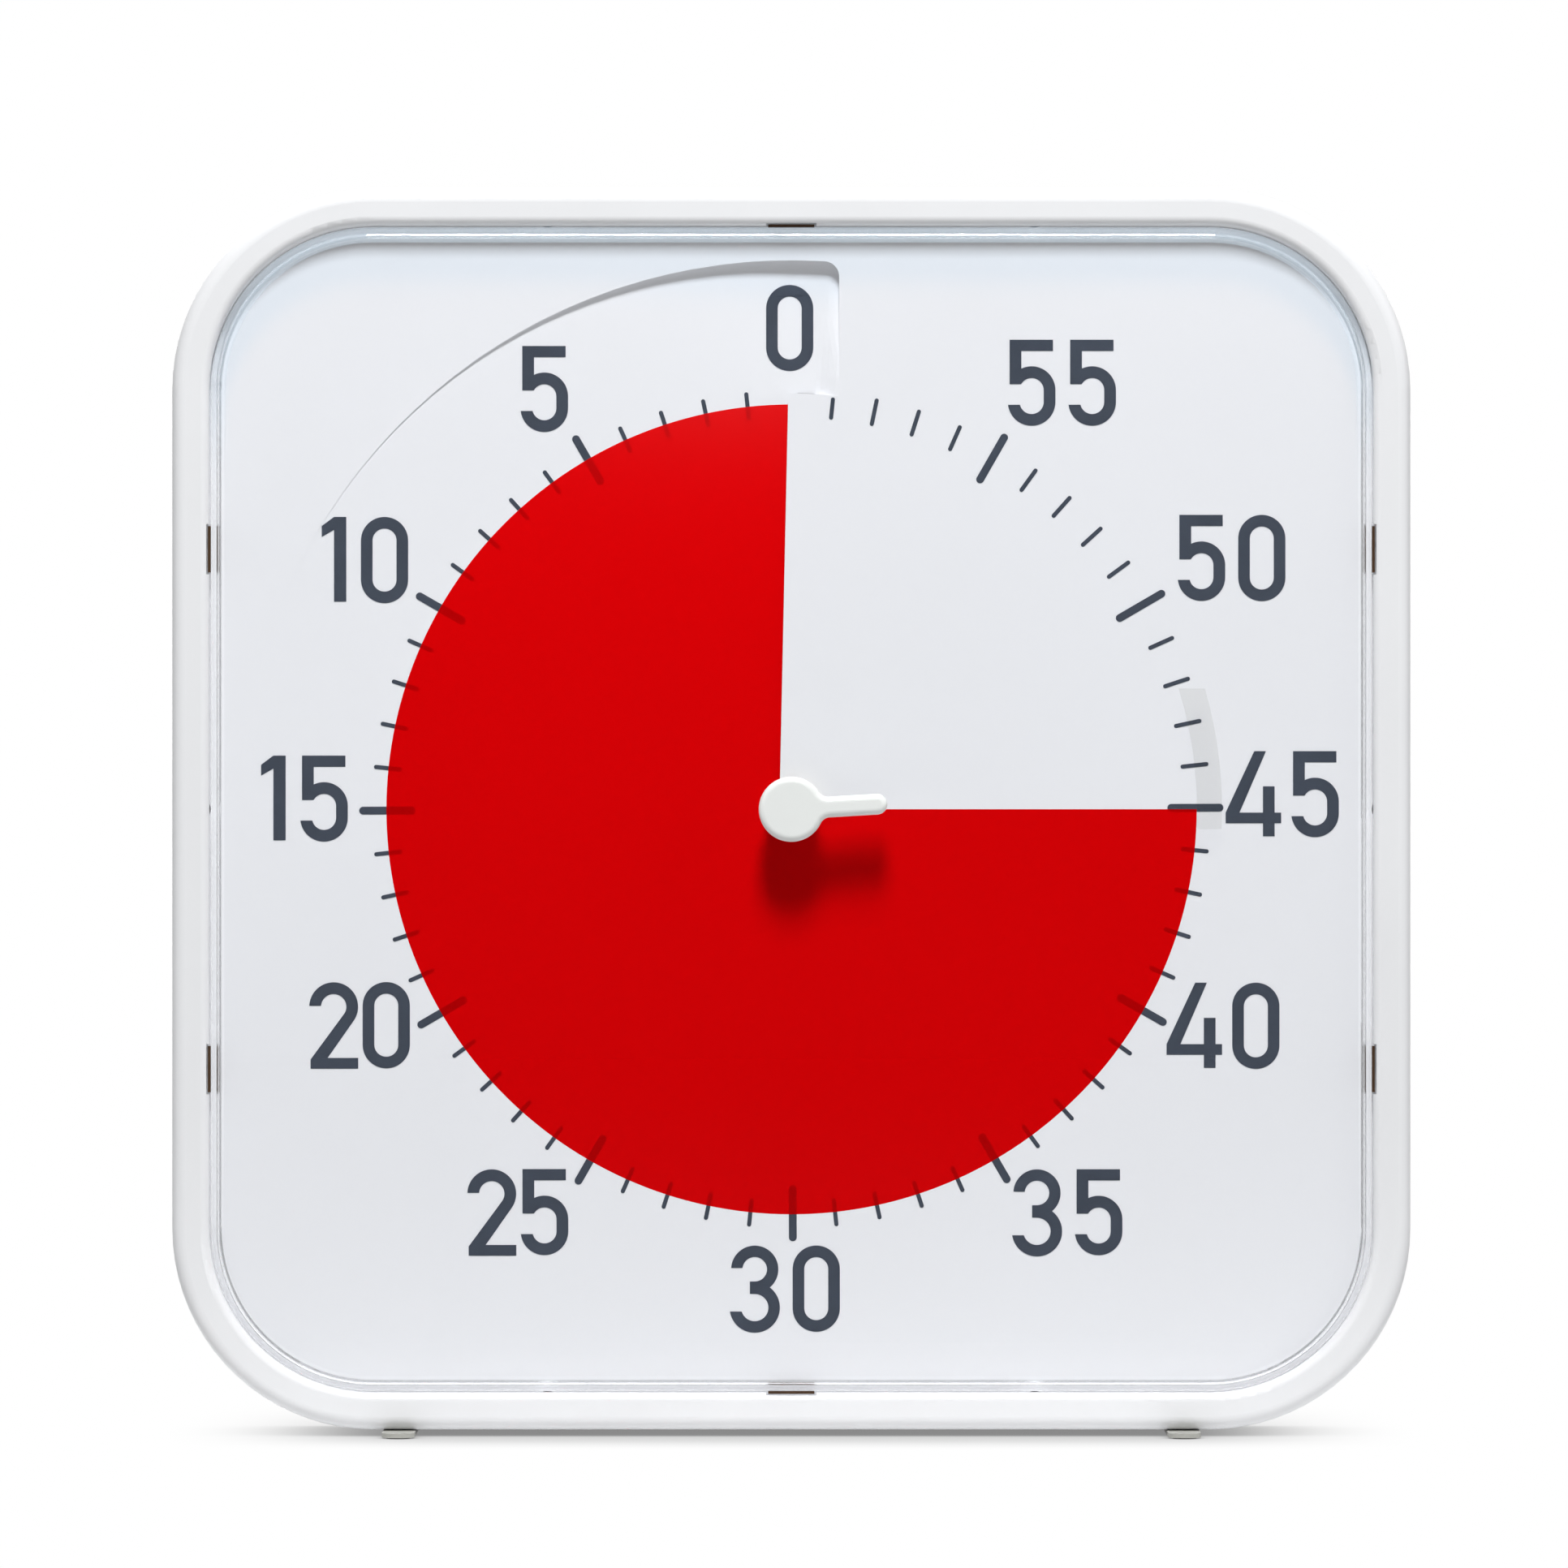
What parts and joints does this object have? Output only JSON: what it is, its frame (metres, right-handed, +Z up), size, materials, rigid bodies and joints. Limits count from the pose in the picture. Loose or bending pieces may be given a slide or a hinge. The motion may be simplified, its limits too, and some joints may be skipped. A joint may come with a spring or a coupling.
{
  "type": "visual countdown timer",
  "caption": "Square free-standing visual countdown timer: a red disk winds through a slit in a numbered white dial behind a clear window, set by a central pointer knob.",
  "frame": {"origin": "centre of the bounding box in plan, on the table under the feet", "axes": "+Z up, -Y towards the viewer of the dial, +X to the viewer's right"},
  "size_m": [0.305, 0.066, 0.3072],
  "materials": {
    "frame_white": "satin moulded",
    "clear_plastic": "clear polished",
    "dial_white": "fine matt, printed",
    "screw_steel": "zinc plated",
    "movement_plastic": "matt",
    "coil_wire": "enamelled wire",
    "core_steel": "rolled",
    "board_green": "varnished",
    "dark_plastic": "matt",
    "cell_wrap": "plain wrap",
    "contact_metal": "nickel plated",
    "knob_white": "satin",
    "gear_plastic": "matt",
    "disk_red": "fine matt film",
    "tab_clear": "clear",
    "foot_grey": "satin",
    "pad_rubber": "matt"
  },
  "bodies": {
    "case": {"front_frame": "frame_white", "clear_lens": "clear_plastic", "dial_plate": "dial_white", "rear_cover": "frame_white", "cover_screws": "screw_steel", "movement_case": "movement_plastic", "movement_cover": "movement_plastic", "movement_screws": "screw_steel", "drive_coil": "coil_wire", "stator_core": "core_steel", "circuit_board": "board_green", "switch_body": "screw_steel", "beeper": "dark_plastic", "battery_cell": "cell_wrap", "battery_contact_positive": "contact_metal", "battery_spring_negative": "contact_metal", "foot_pins": "screw_steel"},
    "knob_shaft": {"centre_shaft": "screw_steel", "pointer_knob": "knob_white", "minute_wheel": "gear_plastic", "friction_washer": "contact_metal"},
    "disk": {"red_disk": "disk_red", "disk_hub": "knob_white", "disk_tab": "tab_clear"},
    "third": {"third_wheel": "gear_plastic"},
    "motor_rotor": {"rotor": "gear_plastic"},
    "sound_switch": {"switch_knob": "dark_plastic"},
    "door": {"battery_door": "frame_white"},
    "left_foot": {"foot_left": "foot_grey", "foot_pads_left": "pad_rubber"},
    "right_foot": {"foot_right": "foot_grey", "foot_pads_right": "pad_rubber"}
  },
  "joints": [
    {"name": "timer_turn", "type": "hinge", "parent": "case", "child": "knob_shaft", "pos_m": [0, 0, 0.1544], "axis": [0, -1, 0], "range_deg": [-270, 90]},
    {"name": "disk_rise", "type": "slide", "parent": "knob_shaft", "child": "disk", "axis": [0, -1, 0], "range_m": [-0.00451, 0.00151]},
    {"name": "third_turn", "type": "hinge", "parent": "case", "child": "third", "pos_m": [0.016, 0, 0.1544], "axis": [0, -1, 0], "range_deg": [-361, 1081]},
    {"name": "rotor_turn", "type": "hinge", "parent": "case", "child": "motor_rotor", "pos_m": [0.016, 0, 0.1424], "axis": [0, -1, 0], "range_deg": [-4321, 1441]},
    {"name": "switch_slide", "type": "slide", "parent": "case", "child": "sound_switch", "axis": [1, 0, 0], "range_m": [0, 0.004]},
    {"name": "door_lift", "type": "slide", "parent": "case", "child": "door", "axis": [0, 1, 0], "range_m": [0, 0.012]},
    {"name": "left_foot_swivel", "type": "hinge", "parent": "case", "child": "left_foot", "pos_m": [-0.0965, 0, 0], "axis": [0, 0, 1], "range_deg": [0, 90]},
    {"name": "right_foot_swivel", "type": "hinge", "parent": "case", "child": "right_foot", "pos_m": [0.0965, 0, 0], "axis": [0, 0, 1], "range_deg": [0, 90]}
  ],
  "couplings": [
    {"joint": "disk_rise", "follows": "timer_turn", "m_per_rad": 0.00095493},
    {"joint": "third_turn", "follows": "timer_turn", "ratio": -4},
    {"joint": "rotor_turn", "follows": "timer_turn", "ratio": 16}
  ]
}
